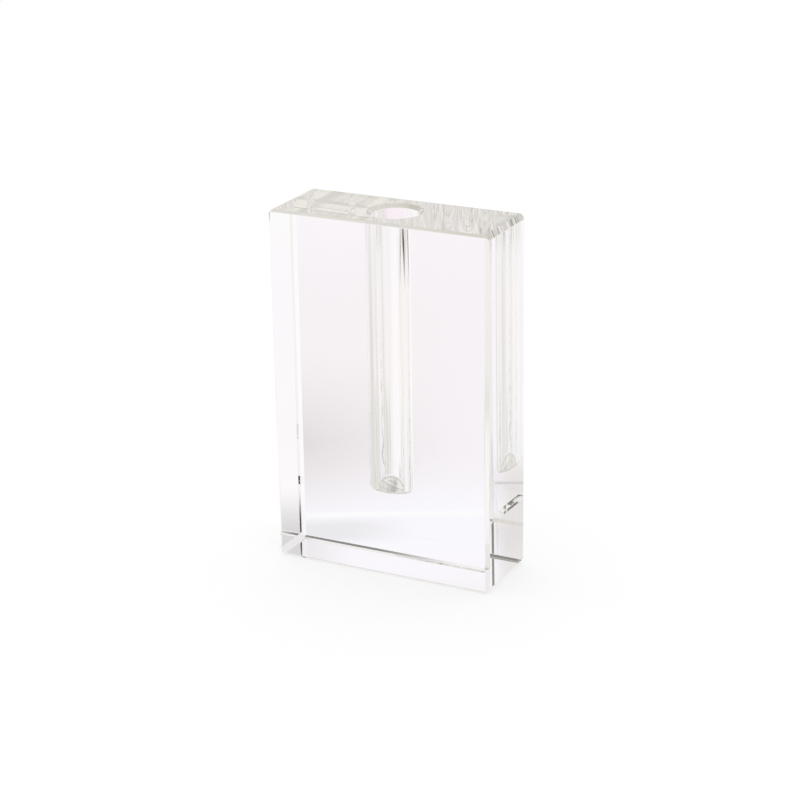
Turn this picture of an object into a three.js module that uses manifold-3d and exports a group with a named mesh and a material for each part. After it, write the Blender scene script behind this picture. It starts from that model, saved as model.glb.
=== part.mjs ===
// Square bud vase: one solid block of clear optical crystal with bevelled edges and a drilled,
// flat-bottomed stem hole whose mouth is countersunk. Millimetres, +Z up, X across the broad
// front, Y from front to back, origin at the centre of the base.

import * as THREE from 'three';
import { mergeVertices } from 'three/addons/utils/BufferGeometryUtils.js';
import Module from 'manifold-3d';

// Block
const WIDTH = 98.5;
const DEPTH = 36.3;
const HEIGHT = 152.4;

// Bevels, each as the leg that it takes off both faces of its edge
const END_BEVEL = 2.1;
const UPRIGHT_BEVEL = 1.5;
const LONG_BEVEL = 1;

// Stem hole
const HOLE_RADIUS = 9.7;
const HOLE_FLOOR_Z = 34.6;
const HOLE_FLOOR_ROUND = 1.2;
const MOUTH_FLARE = 1.9;
const MOUTH_DEPTH = 1.4;

// Facets
const HOLE_SIDES = 128;
const ROUND_STEPS = 6;

// The cutters reach past the faces that they cut through
const CUT_OVERRUN = 5;

// Crystal
const CRYSTAL_COLOUR = 0xf4f1f3;
const CRYSTAL_ROUGHNESS = 0.02;
const CRYSTAL_OPACITY = 0.35;

const wasm = await Module();
wasm.setup();

function toSolid(geometry) {
  geometry.deleteAttribute('normal');
  geometry.deleteAttribute('uv');
  const merged = mergeVertices(geometry);
  const vertProperties = new Float32Array(merged.attributes.position.array);
  const triVerts = new Uint32Array(merged.index.array);
  return new wasm.Manifold(new wasm.Mesh({ numProp: 3, vertProperties, triVerts }));
}

function toGeometry(solid) {
  const mesh = solid.getMesh();
  const geometry = new THREE.BufferGeometry();
  geometry.setAttribute('position', new THREE.BufferAttribute(mesh.vertProperties, 3));
  geometry.setIndex(new THREE.BufferAttribute(mesh.triVerts, 1));
  geometry.computeVertexNormals();
  return geometry;
}

// A rectangle centred on the origin with its four corners cut off at 45 degrees
function bevelledOutline(across, up, bevel) {
  const right = across / 2;
  const top = up / 2;
  const shape = new THREE.Shape();
  shape.moveTo(-right + bevel, -top);
  shape.lineTo(right - bevel, -top);
  shape.lineTo(right, -top + bevel);
  shape.lineTo(right, top - bevel);
  shape.lineTo(right - bevel, top);
  shape.lineTo(-right + bevel, top);
  shape.lineTo(-right, top - bevel);
  shape.lineTo(-right, -top + bevel);
  shape.closePath();
  return shape;
}

// The outline drawn out along Z, the same distance to both sides of its plane
function centredPrism(shape, length) {
  const geometry = new THREE.ExtrudeGeometry(shape, { depth: length, bevelEnabled: false });
  geometry.translate(0, 0, -length / 2);
  return geometry;
}

// The block is what three bevelled prisms have in common, one seen from each side, so the three
// bevels at every corner meet as they do where a block is ground edge by edge
function crystalBlock() {
  const plan = centredPrism(bevelledOutline(WIDTH, DEPTH, UPRIGHT_BEVEL), HEIGHT);

  const front = centredPrism(bevelledOutline(WIDTH, HEIGHT, END_BEVEL), DEPTH + 2 * CUT_OVERRUN);
  front.rotateX(Math.PI / 2);

  const side = centredPrism(bevelledOutline(HEIGHT, DEPTH, LONG_BEVEL), WIDTH + 2 * CUT_OVERRUN);
  side.rotateY(Math.PI / 2);

  return toSolid(plan).intersect(toSolid(front)).intersect(toSolid(side));
}

// Outline of the drill from its tip up, in the half plane of radius and height above the block's
// middle: flat tip, rounded corner, straight wall and the cone that opens the mouth
function drillProfile() {
  const floor = HOLE_FLOOR_Z - HEIGHT / 2;
  const rim = HEIGHT / 2;
  const points = [new THREE.Vector2(0, floor)];
  for (let step = 0; step <= ROUND_STEPS; step += 1) {
    const turn = (step / ROUND_STEPS) * (Math.PI / 2);
    const radius = HOLE_RADIUS - HOLE_FLOOR_ROUND + HOLE_FLOOR_ROUND * Math.sin(turn);
    const height = floor + HOLE_FLOOR_ROUND - HOLE_FLOOR_ROUND * Math.cos(turn);
    points.push(new THREE.Vector2(radius, height));
  }
  const coneRadius = HOLE_RADIUS + MOUTH_FLARE * (1 + CUT_OVERRUN / MOUTH_DEPTH);
  points.push(new THREE.Vector2(HOLE_RADIUS, rim - MOUTH_DEPTH));
  points.push(new THREE.Vector2(coneRadius, rim + CUT_OVERRUN));
  points.push(new THREE.Vector2(0, rim + CUT_OVERRUN));
  return points;
}

function stemDrill() {
  const geometry = new THREE.LatheGeometry(drillProfile(), HOLE_SIDES);
  geometry.rotateX(Math.PI / 2);
  return toSolid(geometry);
}

const crystal = new THREE.MeshStandardMaterial({
  color: CRYSTAL_COLOUR,
  roughness: CRYSTAL_ROUGHNESS,
  metalness: 0,
  transparent: true,
  opacity: CRYSTAL_OPACITY,
});

const vaseBlock = new THREE.Mesh(toGeometry(crystalBlock().subtract(stemDrill())), crystal);
vaseBlock.name = 'crystal_block';
vaseBlock.position.z = HEIGHT / 2;

const vase = new THREE.Group();
vase.add(vaseBlock);

export default vase;
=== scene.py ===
"""Square bud vase of clear crystal: a bevelled block with a stem hole, its studio and its camera."""

from math import cos, pi, radians, sin
from typing import NamedTuple

import bmesh
import bpy
from mathutils import Matrix, Vector


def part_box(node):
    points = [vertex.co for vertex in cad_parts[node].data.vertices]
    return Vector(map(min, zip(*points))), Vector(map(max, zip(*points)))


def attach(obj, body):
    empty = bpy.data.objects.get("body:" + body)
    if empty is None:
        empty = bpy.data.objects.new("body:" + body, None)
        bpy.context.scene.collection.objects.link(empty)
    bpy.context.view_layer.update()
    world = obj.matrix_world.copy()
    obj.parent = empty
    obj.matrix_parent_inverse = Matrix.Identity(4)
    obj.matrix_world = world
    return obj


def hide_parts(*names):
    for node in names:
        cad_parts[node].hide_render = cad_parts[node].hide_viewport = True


bl_info = {
    "name": "Square Crystal Vase",
    "version": (1, 0, 0),
    "blender": (4, 5, 0),
    "location": "View3D > Sidebar > Vase",
    "description": "Builds a bevelled crystal block vase with a drilled stem hole",
    "category": "Add Mesh",
}

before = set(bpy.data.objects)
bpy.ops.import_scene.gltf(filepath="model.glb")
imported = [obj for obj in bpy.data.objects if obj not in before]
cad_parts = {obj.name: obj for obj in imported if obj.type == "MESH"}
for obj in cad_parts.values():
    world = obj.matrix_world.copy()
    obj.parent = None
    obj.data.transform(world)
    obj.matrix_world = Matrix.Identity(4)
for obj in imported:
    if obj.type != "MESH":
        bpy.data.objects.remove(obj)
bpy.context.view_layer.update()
BLOCK_NODE = "crystal_block"
BODY = "root"

MM = 0.001
BLOCK_LOW, BLOCK_HIGH = (Vector(corner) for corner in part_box(BLOCK_NODE))
SENSOR = 36


# Sizes that a user would change


class VaseSizes(bpy.types.PropertyGroup):
    """Sizes of the crystal block and its stem hole."""

    width: bpy.props.FloatProperty(
        name="Width",
        description="Across the broad front",
        default=BLOCK_HIGH.x - BLOCK_LOW.x,
        unit="LENGTH",
    )
    depth: bpy.props.FloatProperty(
        name="Depth",
        description="From front to back",
        default=BLOCK_HIGH.y - BLOCK_LOW.y,
        unit="LENGTH",
    )
    height: bpy.props.FloatProperty(
        name="Height",
        description="From the base to the top",
        default=BLOCK_HIGH.z - BLOCK_LOW.z,
        unit="LENGTH",
    )
    end_bevel: bpy.props.FloatProperty(
        name="End bevel",
        description="Leg of the bevels at the two ends of the top and base",
        default=2.1 * MM,
        unit="LENGTH",
    )
    upright_bevel: bpy.props.FloatProperty(
        name="Upright bevel",
        description="Leg of the bevels on the four upright edges",
        default=1.5 * MM,
        unit="LENGTH",
    )
    long_bevel: bpy.props.FloatProperty(
        name="Long bevel",
        description="Leg of the bevels along the front and back edges",
        default=1.0 * MM,
        unit="LENGTH",
    )
    arris: bpy.props.FloatProperty(
        name="Arris",
        description="Width of the tiny round that polishing leaves on each edge",
        default=0.16 * MM,
        unit="LENGTH",
    )
    hole_radius: bpy.props.FloatProperty(
        name="Hole radius",
        description="Radius of the stem hole",
        default=9.7 * MM,
        unit="LENGTH",
    )
    hole_floor: bpy.props.FloatProperty(
        name="Hole floor",
        description="Height of the hole's floor above the base",
        default=34.6 * MM,
        unit="LENGTH",
    )
    floor_round: bpy.props.FloatProperty(
        name="Floor round",
        description="Radius where the hole's wall meets its floor",
        default=1.2 * MM,
        unit="LENGTH",
    )
    mouth_flare: bpy.props.FloatProperty(
        name="Mouth flare",
        description="How far the countersink widens the hole",
        default=1.9 * MM,
        unit="LENGTH",
    )
    mouth_depth: bpy.props.FloatProperty(
        name="Mouth depth",
        description="How deep the countersink goes",
        default=1.4 * MM,
        unit="LENGTH",
    )


class CrystalLook(bpy.types.PropertyGroup):
    """Finish of the polished crystal."""

    index: bpy.props.FloatProperty(
        name="Refractive index",
        description="Index of optical crown crystal",
        default=1.517,
        min=1,
        max=2,
    )
    warm_tint: bpy.props.FloatVectorProperty(
        name="Warm tint",
        description="Colour of the clearer parts of the crystal",
        default=(0.995, 0.985, 0.992),
        subtype="COLOR",
        min=0,
        max=1,
    )
    cool_tint: bpy.props.FloatVectorProperty(
        name="Cool tint",
        description="Colour of the parts that lean to blue",
        default=(0.985, 0.988, 0.997),
        subtype="COLOR",
        min=0,
        max=1,
    )


class StudioSettings(bpy.types.PropertyGroup):
    """Floor, backdrop and light."""

    floor_colour: bpy.props.FloatVectorProperty(
        name="Floor colour",
        description="Colour of the plain pale floor",
        default=(0.95, 0.95, 0.95),
        subtype="COLOR",
        min=0,
        max=1,
    )
    floor_whiteness: bpy.props.FloatProperty(
        name="Floor whiteness",
        description="Share of plain white in the floor that the camera sees",
        default=0.75,
        min=0,
        max=1,
    )
    floor_gap: bpy.props.FloatProperty(
        name="Floor gap",
        description="Air under the base, which keeps the base a mirror from inside",
        default=0.2 * MM,
        unit="LENGTH",
    )
    lamp_power: bpy.props.FloatProperty(
        name="Lamp power",
        description="Power of the large soft lamp overhead",
        default=6.0,
        unit="POWER",
    )


class PhotoView(bpy.types.PropertyGroup):
    """Camera of the photograph."""

    azimuth: bpy.props.FloatProperty(
        name="Azimuth",
        description="Turn of the camera from the front towards the right end",
        default=radians(27.645),
        subtype="ANGLE",
    )
    elevation: bpy.props.FloatProperty(
        name="Elevation",
        description="Height of the camera as an angle",
        default=radians(21.151),
        subtype="ANGLE",
    )
    roll: bpy.props.FloatProperty(
        name="Roll",
        description="Turn of the camera about its own axis",
        default=radians(-1.076),
        subtype="ANGLE",
    )
    distance: bpy.props.FloatProperty(
        name="Distance",
        description="From the camera to the point that it looks at",
        default=0.9767,
        unit="LENGTH",
    )
    target: bpy.props.FloatVectorProperty(
        name="Target",
        description="Point that the camera looks at",
        default=(-0.00621, 0, 0.05353),
        subtype="XYZ",
    )
    lens: bpy.props.FloatProperty(
        name="Lens",
        description="Focal length on a 36 mm sensor",
        default=105.165,
        unit="CAMERA",
    )
    shift: bpy.props.FloatVectorProperty(
        name="Shift",
        description="Lens shift as a share of the picture",
        size=2,
        default=(0.0175, 0.0478),
    )


# Mesh helpers


def cut_and_cap(mesh, point, normal):
    """Cut the closed solid by a plane, drop what lies beyond it and close the cut."""
    everything = mesh.verts[:] + mesh.edges[:] + mesh.faces[:]
    bmesh.ops.bisect_plane(mesh, geom=everything, plane_co=point, plane_no=normal, clear_outer=True)
    rim = [edge for edge in mesh.edges if edge.is_boundary]
    bmesh.ops.holes_fill(mesh, edges=rim, sides=0)


def bevelled_block(sizes):
    """The block as a box whose twelve edges are cut off at 45 degrees."""
    half = Vector((sizes.width / 2, sizes.depth / 2, sizes.height / 2))
    mesh = bmesh.new()
    bmesh.ops.create_cube(mesh, size=2)
    bmesh.ops.scale(mesh, vec=half, verts=mesh.verts)
    legs = {
        (0, 1): sizes.upright_bevel,
        (0, 2): sizes.end_bevel,
        (1, 2): sizes.long_bevel,
    }
    for (first, second), leg in legs.items():
        for first_side in (-1, 1):
            for second_side in (-1, 1):
                normal = Vector((0, 0, 0))
                normal[first], normal[second] = first_side, second_side
                point = Vector((0, 0, 0))
                point[first] = first_side * (half[first] - leg)
                point[second] = second_side * half[second]
                cut_and_cap(mesh, point, normal)
    bmesh.ops.translate(mesh, vec=(0, 0, half.z), verts=mesh.verts)
    return mesh


def drill_profile(sizes, overrun, steps):
    """Outline of the drill as radius and height, from its tip up to above the mouth."""
    radius, floor, fillet = sizes.hole_radius, sizes.hole_floor, sizes.floor_round
    outline = [(0, floor)]
    for step in range(steps + 1):
        turn = step / steps * pi / 2
        outline.append((radius - fillet + fillet * sin(turn), floor + fillet - fillet * cos(turn)))
    outline.append((radius, sizes.height - sizes.mouth_depth))
    flare = sizes.mouth_flare * (1 + overrun / sizes.mouth_depth)
    outline.append((radius + flare, sizes.height + overrun))
    outline.append((0, sizes.height + overrun))
    return outline


SEAM_TOLERANCE = 1e-7


def lathe(outline, sides):
    """A closed solid of revolution about Z."""
    mesh = bmesh.new()
    points = [mesh.verts.new((radius, 0, height)) for radius, height in outline]
    lines = [mesh.edges.new(pair) for pair in zip(points, points[1:])]
    bmesh.ops.spin(
        mesh,
        geom=points + lines,
        cent=(0, 0, 0),
        axis=(0, 0, 1),
        dvec=(0, 0, 0),
        angle=2 * pi,
        steps=sides,
        use_merge=True,
    )
    bmesh.ops.remove_doubles(mesh, verts=mesh.verts, dist=SEAM_TOLERANCE)
    bmesh.ops.recalc_face_normals(mesh, faces=mesh.faces)
    return mesh


def as_object(mesh, name):
    """Store the mesh in a new object of the scene."""
    data = bpy.data.meshes.new(name)
    mesh.to_mesh(data)
    mesh.free()
    made = bpy.data.objects.new(name, data)
    bpy.context.scene.collection.objects.link(made)
    return made


def sheet(name, half_size, height):
    """A flat rectangle facing up."""
    mesh = bmesh.new()
    bmesh.ops.create_grid(mesh, x_segments=1, y_segments=1, size=1)
    bmesh.ops.scale(mesh, vec=(*half_size, 1), verts=mesh.verts)
    made = as_object(mesh, name)
    made.location.z = height
    return made


def settle(body):
    """Turn the body's modifiers into its mesh."""
    view = bpy.context.evaluated_depsgraph_get()
    done = bpy.data.meshes.new_from_object(body.evaluated_get(view))
    body.modifiers.clear()
    body.data = done


def take_away(body, tool):
    """Cut the tool's shape out of the body for good."""
    cut = body.modifiers.new("Drill", "BOOLEAN")
    cut.operation = "DIFFERENCE"
    cut.solver = "EXACT"
    cut.object = tool
    settle(body)
    bpy.data.objects.remove(tool)


def polish_edges(body, width, segments=3, sharp_from=30, evenness=4):
    """Round each ground edge a little and keep the flats flat."""
    round_off = body.modifiers.new("Arris", "BEVEL")
    round_off.width = width
    round_off.segments = segments
    round_off.limit_method = "ANGLE"
    round_off.angle_limit = radians(sharp_from)
    settle(body)
    mesh = body.data
    mesh.shade_smooth()
    # The largest face at each point decides which way it faces, so the light bends only at the rounds.
    facing = [Vector() for _ in mesh.vertices]
    for face in mesh.polygons:
        for point in face.vertices:
            facing[point] += face.normal * (face.area / MM**2) ** evenness
    mesh.normals_split_custom_set_from_vertices([normal.normalized() for normal in facing])


# Material helpers


class Graph:
    """A node tree with short ways to add and join nodes."""

    # The colour sockets of a mix node, which share their names with its other kinds.
    MIX_FIRST, MIX_SECOND, MIX_RESULT = 6, 7, 2

    def __init__(self, tree):
        self.tree = tree
        tree.nodes.clear()

    def add(self, kind, inputs=None, **settings):
        node = self.tree.nodes.new(kind)
        for name, value in settings.items():
            setattr(node, name, value)
        for name, value in (inputs or {}).items():
            self.feed(node.inputs[name], value)
        return node

    def feed(self, socket, value):
        if isinstance(value, bpy.types.NodeSocket):
            self.tree.links.new(value, socket)
        else:
            socket.default_value = value

    def math(self, operation, *values):
        node = self.add("ShaderNodeMath", operation=operation)
        for socket, value in zip(node.inputs, values):
            self.feed(socket, value)
        return node.outputs[0]

    def ramp_between(self, value, low, high):
        """0 at low, 1 at high, smooth between and level beyond them, whichever is the larger."""
        node = self.add("ShaderNodeMapRange", interpolation_type="SMOOTHSTEP")
        for name, number in (("Value", value), ("From Min", low), ("From Max", high)):
            self.feed(node.inputs[name], number)
        return node.outputs["Result"]

    def mix(self, share, first, second):
        node = self.add("ShaderNodeMix", data_type="RGBA")
        self.feed(node.inputs["Factor"], share)
        self.feed(node.inputs[self.MIX_FIRST], first)
        self.feed(node.inputs[self.MIX_SECOND], second)
        return node.outputs[self.MIX_RESULT]

    def mix_shaders(self, share, first, second):
        node = self.add("ShaderNodeMixShader")
        for socket, value in zip(node.inputs, (share, first, second)):
            self.feed(socket, value)
        return node.outputs["Shader"]


def opaque(colour):
    return (*colour[:3], 1)


TINT_DRIFT_SCALE = 14.0
TINT_DRIFT_EDGES = (0.35, 0.65)
POLISH_SMEAR_SCALE = 60.0
POLISH_SMEAR_EDGES = (0.3, 0.8)
POLISH_ROUGHNESS = 0.006


def crystal_material(look):
    """Clear polished crystal with a faint drift of tint and the least smear of a hand-held polish."""
    material = bpy.data.materials.new("polished crystal")
    material.use_nodes = True
    graph = Graph(material.node_tree)
    place = graph.add("ShaderNodeTexCoord").outputs["Object"]
    drift = graph.add("ShaderNodeTexNoise", {"Vector": place, "Scale": TINT_DRIFT_SCALE, "Detail": 1.0})
    share = graph.ramp_between(drift.outputs["Fac"], *TINT_DRIFT_EDGES)
    tint = graph.mix(share, opaque(look.warm_tint), opaque(look.cool_tint))
    smear = graph.add("ShaderNodeTexNoise", {"Vector": place, "Scale": POLISH_SMEAR_SCALE, "Detail": 3.0})
    low, high = POLISH_SMEAR_EDGES
    roughness = graph.add(
        "ShaderNodeMapRange",
        {
            "Value": smear.outputs["Fac"],
            "From Min": low,
            "From Max": high,
            "To Min": 0.0,
            "To Max": POLISH_ROUGHNESS,
        },
    )
    shader = graph.add(
        "ShaderNodeBsdfPrincipled",
        {
            "Base Color": tint,
            "Roughness": roughness.outputs["Result"],
            "IOR": look.index,
            "Transmission Weight": 1.0,
        },
    )
    graph.add("ShaderNodeOutputMaterial", {"Surface": shader.outputs["BSDF"]})
    return material


def floor_material(studio):
    """Plain pale floor that shows nearly white to the camera and still takes a faint shadow."""
    material = bpy.data.materials.new("pale floor")
    material.use_nodes = True
    graph = Graph(material.node_tree)
    surface = graph.add("ShaderNodeBsdfDiffuse", {"Color": opaque(studio.floor_colour)})
    white = graph.add("ShaderNodeEmission", {"Color": (1, 1, 1, 1), "Strength": 1.0})
    ray = graph.add("ShaderNodeLightPath")
    share = graph.math("MULTIPLY", ray.outputs["Is Camera Ray"], studio.floor_whiteness)
    seen = graph.mix_shaders(share, surface.outputs["BSDF"], white.outputs["Emission"])
    graph.add("ShaderNodeOutputMaterial", {"Surface": seen})
    return material


PATCH_SCALE_ACROSS, PATCH_SCALE_ALONG = 130.0, 170.0
PATCH_EDGES = (0.8, 1.2)
FLOOR_SHADE = (0.42, 0.40, 0.33)
FLOOR_PATCH = (0.91, 0.87, 0.79)
# Painted shadow: tone, place and soft edges of a thin dark line across the shaded floor.
FLOOR_SHADOW_LINE = (0.16, 0.17, 0.15)
FLOOR_SHADOW_LINE_PLACE = 11.2 * MM
FLOOR_SHADOW_LINE_EDGES = (0.7 * MM, 0.2 * MM)
FLOOR_OPEN_SHARE = 0.4


def shaded_floor_material():
    """The floor under the block as the crystal shows it: shade with patches of gathered light, half open."""
    material = bpy.data.materials.new("shaded floor")
    material.use_nodes = True
    graph = Graph(material.node_tree)
    place = graph.add("ShaderNodeTexCoord").outputs["Object"]
    x, y, _ = graph.add("ShaderNodeSeparateXYZ", {"Vector": place}).outputs
    across, along = (
        graph.add("ShaderNodeTexNoise", {"W": position, "Scale": scale, "Detail": 1.0}, noise_dimensions="1D")
        for position, scale in ((x, PATCH_SCALE_ACROSS), (y, PATCH_SCALE_ALONG))
    )
    both = graph.math("ADD", across.outputs["Fac"], along.outputs["Fac"])
    share = graph.ramp_between(both, *PATCH_EDGES)
    tone = graph.mix(share, opaque(FLOOR_SHADE), opaque(FLOOR_PATCH))
    # Painted shadow: a thin dark line across the shaded floor, parallel to the front.
    from_shadow_line = graph.math("ABSOLUTE", graph.math("SUBTRACT", y, FLOOR_SHADOW_LINE_PLACE))
    seam = graph.ramp_between(from_shadow_line, *FLOOR_SHADOW_LINE_EDGES)
    tone = graph.mix(seam, tone, opaque(FLOOR_SHADOW_LINE))
    glow = graph.add("ShaderNodeEmission", {"Color": tone, "Strength": 1.0})
    clear = graph.add("ShaderNodeBsdfTransparent")
    half_open = graph.mix_shaders(FLOOR_OPEN_SHARE, glow.outputs["Emission"], clear.outputs["BSDF"])
    graph.add("ShaderNodeOutputMaterial", {"Surface": half_open})
    return material


class Card(NamedTuple):
    """A soft-edged patch of the studio, by its direction from the vase in degrees."""

    azimuth: float
    elevation: float
    half_width: float
    half_height: float
    soft_width: float
    soft_height: float
    colour: tuple
    lean: float = 0


ALL_ROUND = 180
WHITE = (1.0, 1.0, 1.0)
WALL_POSTS = (-113, -67, -23, 23, 67, 113)
POST_GREY = (0.40, 0.39, 0.36)

# The studio as the crystal shows it. Azimuth is 0 in front, 90 at the right end and 180 behind, and
# lean is the turn of a card for each degree of height. Later cards lie over earlier ones.
STUDIO = {
    "far wall": Card(0, -4.5, ALL_ROUND, 10.5, 1, 1.5, (0.93, 0.92, 0.91)),
    **{f"wall post at {azimuth}": Card(azimuth, -5.3, 4, 9.0, 1.5, 1.2, POST_GREY) for azimuth in WALL_POSTS},
    "table nearby": Card(0, -32, ALL_ROUND, 8.5, 1, 1.5, (0.92, 0.90, 0.88)),
    "table": Card(0, -19.8, ALL_ROUND, 5.0, 1, 1.0, (0.95, 0.93, 0.91)),
    "left side in shade": Card(-90, -21.0, 30, 5.0, 22, 3.5, (0.74, 0.72, 0.69)),
    "far edge in front": Card(29, -15.3, 5, 1.6, 3, 1.0, (0.86, 0.84, 0.78)),
    "near the base in front": Card(0, -22.5, 60, 1.5, 20, 1.0, (0.87, 0.88, 0.88)),
    "gap at the right end": Card(115, -16.4, 10, 0.6, 4, 0.7, (0.03, 0.02, 0.01), -12),
    "table behind on the right": Card(168, -19.8, 25, 5, 8, 1.0, (1.0, 0.99, 0.98)),
    "table behind": Card(-153, -19.8, 6, 5, 5, 1.0, (0.93, 0.89, 0.91)),
    "far along the table": Card(-158, -18.8, 2, 4, 4, 1.5, (0.97, 0.91, 0.96)),
    "far edge behind": Card(-152, -15.6, 6, 0.8, 5, 1.8, (0.98, 0.93, 0.97)),
    "lilac cloth behind": Card(-126, -15.5, 21, 0.5, 3, 0.5, (0.97, 0.88, 0.95)),
    "close behind": Card(-155, -23.4, 14, 1.2, 5, 0.8, (0.97, 0.96, 1.0)),
    "shade behind": Card(-147.5, -21.2, 3, 0.8, 4.5, 1.8, (0.55, 0.51, 0.49)),
    "sheet close behind": Card(-153, -23.0, 3.5, 0.05, 0.5, 0.07, WHITE),
    # Painted shade: a greyer patch by the corner of the sheet close behind.
    "shade by the corner of the sheet": Card(-150.2, -23.4, 2.0, 0.25, 1.2, 0.15, (0.83, 0.82, 0.84)),
    "shade behind on the left": Card(-157.2, -22.4, 1.7, 0.9, 0.2, 0.5, (0.87, 0.84, 0.83)),
    "seam of the cloth behind": Card(-157.2, -22.27, 2.0, 0.03, 0.15, 0.03, (0.66, 0.65, 0.62)),
    "dish behind on the right": Card(157, -22.35, 3, 0.5, 1, 0.3, (0.30, 0.28, 0.26)),
    "shade by the left corner": Card(-61, -21.6, 3, 0.4, 2, 0.4, (0.70, 0.69, 0.64)),
    "shade behind the left end": Card(-125, -21.5, 14, 1.3, 4, 0.8, (0.68, 0.68, 0.61)),
    "light gap behind the left end": Card(-121.5, -22.2, 2.5, 1.6, 1, 0.8, (0.96, 0.95, 0.93)),
    "shade behind the right end": Card(136, -21.8, 4, 1.2, 2, 0.8, (0.70, 0.70, 0.65)),
    "grey cloth behind the right end": Card(138, -17.9, 4, 1.2, 2.5, 1.0, (0.80, 0.79, 0.75)),
    "lilac cloth behind the right end": Card(150, -19.0, 5, 3.0, 3, 1.5, (0.98, 0.955, 0.975)),
    "post behind on the right": Card(168, -15.3, 3, 0.4, 2, 0.2, (0.20, 0.20, 0.14)),
    "close behind on the right": Card(150, -23.4, 8, 0.55, 3, 0.7, (0.67, 0.65, 0.65)),
    "backdrop": Card(0, 24, ALL_ROUND, 8, 1, 2.0, (0.93, 0.91, 0.93)),
    "bright foot of the backdrop": Card(-153.5, 24.2, 2.5, 0.5, 0.8, 0.5, (0.97, 0.95, 0.99)),
    "grey foot of the backdrop": Card(-149.3, 24.0, 1.2, 1.0, 1.0, 0.5, (0.80, 0.79, 0.81)),
    "backdrop on the right": Card(153, 27.3, 3, 0.8, 2, 0.6, (0.83, 0.81, 0.83)),
    "shade on the backdrop": Card(-157.5, 24.0, 2.15, 1.4, 0.25, 0.3, (0.79, 0.76, 0.75)),
    "foot of the backdrop": Card(150, 23.8, 6, 0.6, 3, 0.35, (0.68, 0.67, 0.67)),
    "fold of the backdrop": Card(-156, 22.3, 36, 0.22, 3, 0.08, (0.08, 0.08, 0.07)),
    "shelf": Card(0, 12.8, ALL_ROUND, 2.0, 1, 1.5, (0.87, 0.86, 0.86)),
    "edge of the shelf": Card(-152, 5.8, 20, 0.8, 5, 0.5, (0.17, 0.17, 0.16)),
    "edge of the shelf on the right": Card(153, 6.1, 6, 0.4, 3, 0.15, (0.12, 0.11, 0.10)),
    "clip": Card(61, 8.5, 5, 1.0, 3, 0.6, (0.01, 0.01, 0.01)),
    "hook": Card(60, 23.4, 4, 0.7, 3, 0.4, (0.02, 0.02, 0.02)),
    "pin": Card(180, 13.5, 4, 0.8, 3, 0.5, (0.10, 0.10, 0.10)),
    "stand on the left": Card(-63, 22, 8, 6, 5, 4.0, (0.15, 0.15, 0.12)),
    "lamp arm": Card(-38, 54, 12, 7, 6, 4.0, (0.06, 0.06, 0.04)),
    "lamp head": Card(-170, 54.7, 9, 2.5, 3, 1.5, (0.02, 0.02, 0.0)),
    "lamp behind": Card(132, 53, 9, 2.5, 4, 1.5, (0.92, 0.91, 0.88)),
    "beam on the right": Card(37, 52, 7, 3.5, 5, 2.0, (0.28, 0.26, 0.20)),
    "beam on the left": Card(-98, 54.7, 10, 2, 4, 1.5, (0.40, 0.38, 0.27)),
    "bright table in front": Card(8, -54.7, 18, 2.5, 4, 1.5, (0.97, 0.92, 0.87)),
    "bright table behind": Card(-137, -55.0, 12, 1.0, 4, 0.6, (0.92, 0.88, 0.84)),
    "dark edge on the left": Card(-52, -54.7, 13, 2.5, 4, 1.5, (0.12, 0.11, 0.06)),
    "shade on the table": Card(166, -54.7, 12, 2, 5, 1.5, (0.38, 0.36, 0.26)),
    # Painted shadow of the vase on the table close behind it, seen from above.
    "shaded table behind from above": Card(-143, -44.3, 8, 2, 4, 1.5, (0.76, 0.73, 0.68)),
    "shade behind from above": Card(-146, -44.3, 2.2, 2, 1.5, 1.5, (0.66, 0.64, 0.57)),
    # Painted shadow of the vase on the table under its mouth.
    "shaded table under the mouth": Card(-140, -58, 40, 9, 8, 4.0, (0.58, 0.55, 0.48)),
}
ROOM = (0.73, 0.71, 0.66)

ROW_ELEVATION = -15.5


def row_gap(azimuth, half_width, soft_width):
    """A stretch of the table's far edge with nothing on it, which the faces or the hole look into."""
    return Card(azimuth, ROW_ELEVATION, half_width, 5, soft_width, 1, WHITE)


# Small things in groups along the far edge of the table, with gaps between the groups.
ROW = Card(0, ROW_ELEVATION, ALL_ROUND, 0.9, 1, 0.35, WHITE)
ROW_GAPS = (
    row_gap(-179, 76, 4),
    row_gap(29, 4, 2),
    row_gap(-6, 16, 3),
    row_gap(45, 7, 3),
    row_gap(90, 9, 3),
    row_gap(-45, 7, 3),
    row_gap(-90, 7, 3),
)
ROW_SCALE = 7.0
ROW_EDGES = (0.36, 0.6)
ROW_DARK = (0.15, 0.14, 0.08)
ROW_LIGHT = (1.0, 1.0, 0.96)
LIGHT = (0.95, 0.95, 0.95)


def card_share(graph, azimuth, elevation, card):
    """How much of the card shows in a direction, from 0 to 1."""
    lift = graph.math("SUBTRACT", elevation, radians(card.elevation))
    high, edge = radians(card.half_height), radians(card.soft_height)
    share = graph.ramp_between(graph.math("ABSOLUTE", lift), high + edge, high - edge)
    if card.half_width < ALL_ROUND:
        leaning = graph.math("MULTIPLY_ADD", lift, card.lean, radians(card.azimuth))
        turn = graph.math("WRAP", graph.math("SUBTRACT", azimuth, leaning), pi, -pi)
        wide, edge = radians(card.half_width), radians(card.soft_width)
        across = graph.ramp_between(graph.math("ABSOLUTE", turn), wide + edge, wide - edge)
        share = graph.math("MULTIPLY", share, across)
    return share


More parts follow.
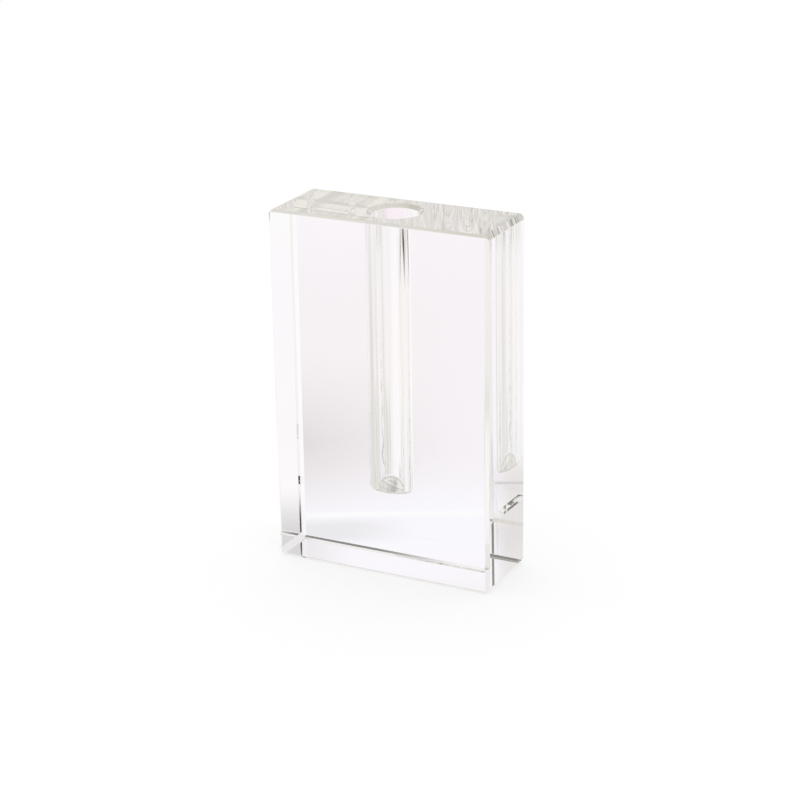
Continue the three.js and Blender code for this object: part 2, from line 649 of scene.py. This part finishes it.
def world_material():
    """Even white to the camera, the studio to the crystal and plain light to the rest."""
    world = bpy.data.worlds.new("studio")
    world.use_nodes = True
    graph = Graph(world.node_tree)
    ray = graph.add("ShaderNodeLightPath").outputs
    direction = graph.add("ShaderNodeTexCoord").outputs["Generated"]
    x, y, z = graph.add("ShaderNodeSeparateXYZ", {"Vector": direction}).outputs
    azimuth = graph.math("ARCTAN2", x, graph.math("MULTIPLY", y, -1.0))
    elevation = graph.math("ARCSINE", z)
    studio = opaque(ROOM)
    for card in STUDIO.values():
        studio = graph.mix(card_share(graph, azimuth, elevation, card), studio, opaque(card.colour))
    along_row = {"W": azimuth, "Scale": ROW_SCALE, "Detail": 2.0}
    things = graph.add("ShaderNodeTexNoise", along_row, noise_dimensions="1D")
    lightness = graph.ramp_between(things.outputs["Fac"], *ROW_EDGES)
    row = graph.mix(lightness, opaque(ROW_DARK), opaque(ROW_LIGHT))
    row_share = card_share(graph, azimuth, elevation, ROW)
    for gap in ROW_GAPS:
        outside = graph.math("SUBTRACT", 1.0, card_share(graph, azimuth, elevation, gap))
        row_share = graph.math("MULTIPLY", row_share, outside)
    studio = graph.mix(row_share, studio, row)
    through_glass = graph.math("MAXIMUM", ray["Is Glossy Ray"], ray["Is Transmission Ray"])
    seen = graph.mix(through_glass, opaque(LIGHT), studio)
    seen = graph.mix(ray["Is Camera Ray"], seen, opaque(WHITE))
    background = graph.add("ShaderNodeBackground", {"Color": seen, "Strength": 1.0})
    graph.add("ShaderNodeOutputWorld", {"Surface": background.outputs["Background"]})
    return world


# Operators


DRILL_OVERRUN = 5 * MM
FLOOR_ROUND_STEPS = 8
HOLE_SIDES = 512
FLOOR_HALF_SIZE = 4.0
LAMP_SIZE = (1.6, 1.2)
LAMP_PLACE = (-0.3, 0.2, 1.6)
LIGHT_BOUNCES = 48
NEAR, FAR = 0.01, 20


class VASE_OT_crystal_block(bpy.types.Operator):
    """Build the bevelled crystal block with its drilled stem hole"""

    bl_idname = "vase.crystal_block"
    bl_label = "Crystal Block"

    def execute(self, context):
        sizes = context.scene.vase_sizes
        block = as_object(bevelled_block(sizes), "vase_block")
        outline = drill_profile(sizes, DRILL_OVERRUN, FLOOR_ROUND_STEPS)
        drill = as_object(lathe(outline, HOLE_SIDES), "drill")
        take_away(block, drill)
        polish_edges(block, sizes.arris)
        block.data.materials.clear()
        block.data.materials.append(crystal_material(context.scene.vase_look))
        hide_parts(BLOCK_NODE)
        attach(block, BODY)
        return {"FINISHED"}


class VASE_OT_studio(bpy.types.Operator):
    """Build the pale floor, the shade under the block, the surround and the soft lamp"""

    bl_idname = "vase.studio"
    bl_label = "Studio"

    def execute(self, context):
        studio = context.scene.vase_studio
        floor = sheet("floor", (FLOOR_HALF_SIZE, FLOOR_HALF_SIZE), -studio.floor_gap)
        floor.data.materials.append(floor_material(studio))
        floor.visible_glossy = False
        floor.visible_transmission = False
        footprint = (BLOCK_HIGH - BLOCK_LOW) / 2
        shaded = sheet("shaded floor", footprint.xy, -studio.floor_gap / 2)
        shaded.data.materials.append(shaded_floor_material())
        shaded.visible_camera = False
        shaded.visible_diffuse = False
        shaded.visible_shadow = False
        lamp = bpy.data.lights.new("overhead softbox", "AREA")
        lamp.shape = "RECTANGLE"
        lamp.size, lamp.size_y = LAMP_SIZE
        lamp.energy = studio.lamp_power
        holder = bpy.data.objects.new("overhead softbox", lamp)
        context.scene.collection.objects.link(holder)
        holder.location = LAMP_PLACE
        holder.rotation_euler = (Vector((0, 0, 0)) - holder.location).to_track_quat("-Z", "Y").to_euler()
        holder.visible_glossy = False
        holder.visible_transmission = False
        context.scene.world = world_material()
        context.scene.view_settings.view_transform = "Standard"
        context.scene.cycles.max_bounces = LIGHT_BOUNCES
        context.scene.cycles.glossy_bounces = LIGHT_BOUNCES
        context.scene.cycles.transmission_bounces = LIGHT_BOUNCES
        return {"FINISHED"}


class VASE_OT_camera(bpy.types.Operator):
    """Place the camera where the photograph was taken"""

    bl_idname = "vase.camera"
    bl_label = "Camera"

    def execute(self, context):
        view = context.scene.vase_view
        turn, lift, roll = view.azimuth, view.elevation, view.roll
        back = Vector((sin(turn) * cos(lift), -cos(turn) * cos(lift), sin(lift)))
        right = Vector((cos(turn), sin(turn), 0))
        up = back.cross(right)
        rolled_right = cos(roll) * right + sin(roll) * up
        rolled_up = cos(roll) * up - sin(roll) * right
        lens = bpy.data.cameras.new("camera")
        lens.lens = view.lens
        lens.sensor_width = SENSOR
        lens.shift_x, lens.shift_y = view.shift
        lens.clip_start, lens.clip_end = NEAR, FAR
        camera = bpy.data.objects.new("camera", lens)
        context.scene.collection.objects.link(camera)
        turned = Matrix((rolled_right, rolled_up, back)).transposed().to_4x4()
        camera.matrix_world = Matrix.Translation(Vector(view.target) + back * view.distance) @ turned
        context.scene.camera = camera
        return {"FINISHED"}


class VASE_PT_build(bpy.types.Panel):
    """Buttons that build the vase"""

    bl_label = "Square Crystal Vase"
    bl_idname = "VASE_PT_build"
    bl_space_type = "VIEW_3D"
    bl_region_type = "UI"
    bl_category = "Vase"

    def draw(self, context):
        layout = self.layout
        for operator in STEPS:
            layout.operator(operator.bl_idname)


GROUPS = {
    "vase_sizes": VaseSizes,
    "vase_look": CrystalLook,
    "vase_studio": StudioSettings,
    "vase_view": PhotoView,
}
STEPS = (VASE_OT_camera, VASE_OT_crystal_block, VASE_OT_studio)
CLASSES = (*GROUPS.values(), *STEPS, VASE_PT_build)


def register():
    for item in CLASSES:
        bpy.utils.register_class(item)
    for name, group in GROUPS.items():
        setattr(bpy.types.Scene, name, bpy.props.PointerProperty(type=group))


def unregister():
    for name in GROUPS:
        delattr(bpy.types.Scene, name)
    for item in reversed(CLASSES):
        bpy.utils.unregister_class(item)


def main():
    register()
    for step in STEPS:
        group, name = step.bl_idname.split(".")
        getattr(getattr(bpy.ops, group), name)()
    bpy.context.view_layer.update()


if __name__ == "__main__":
    main()
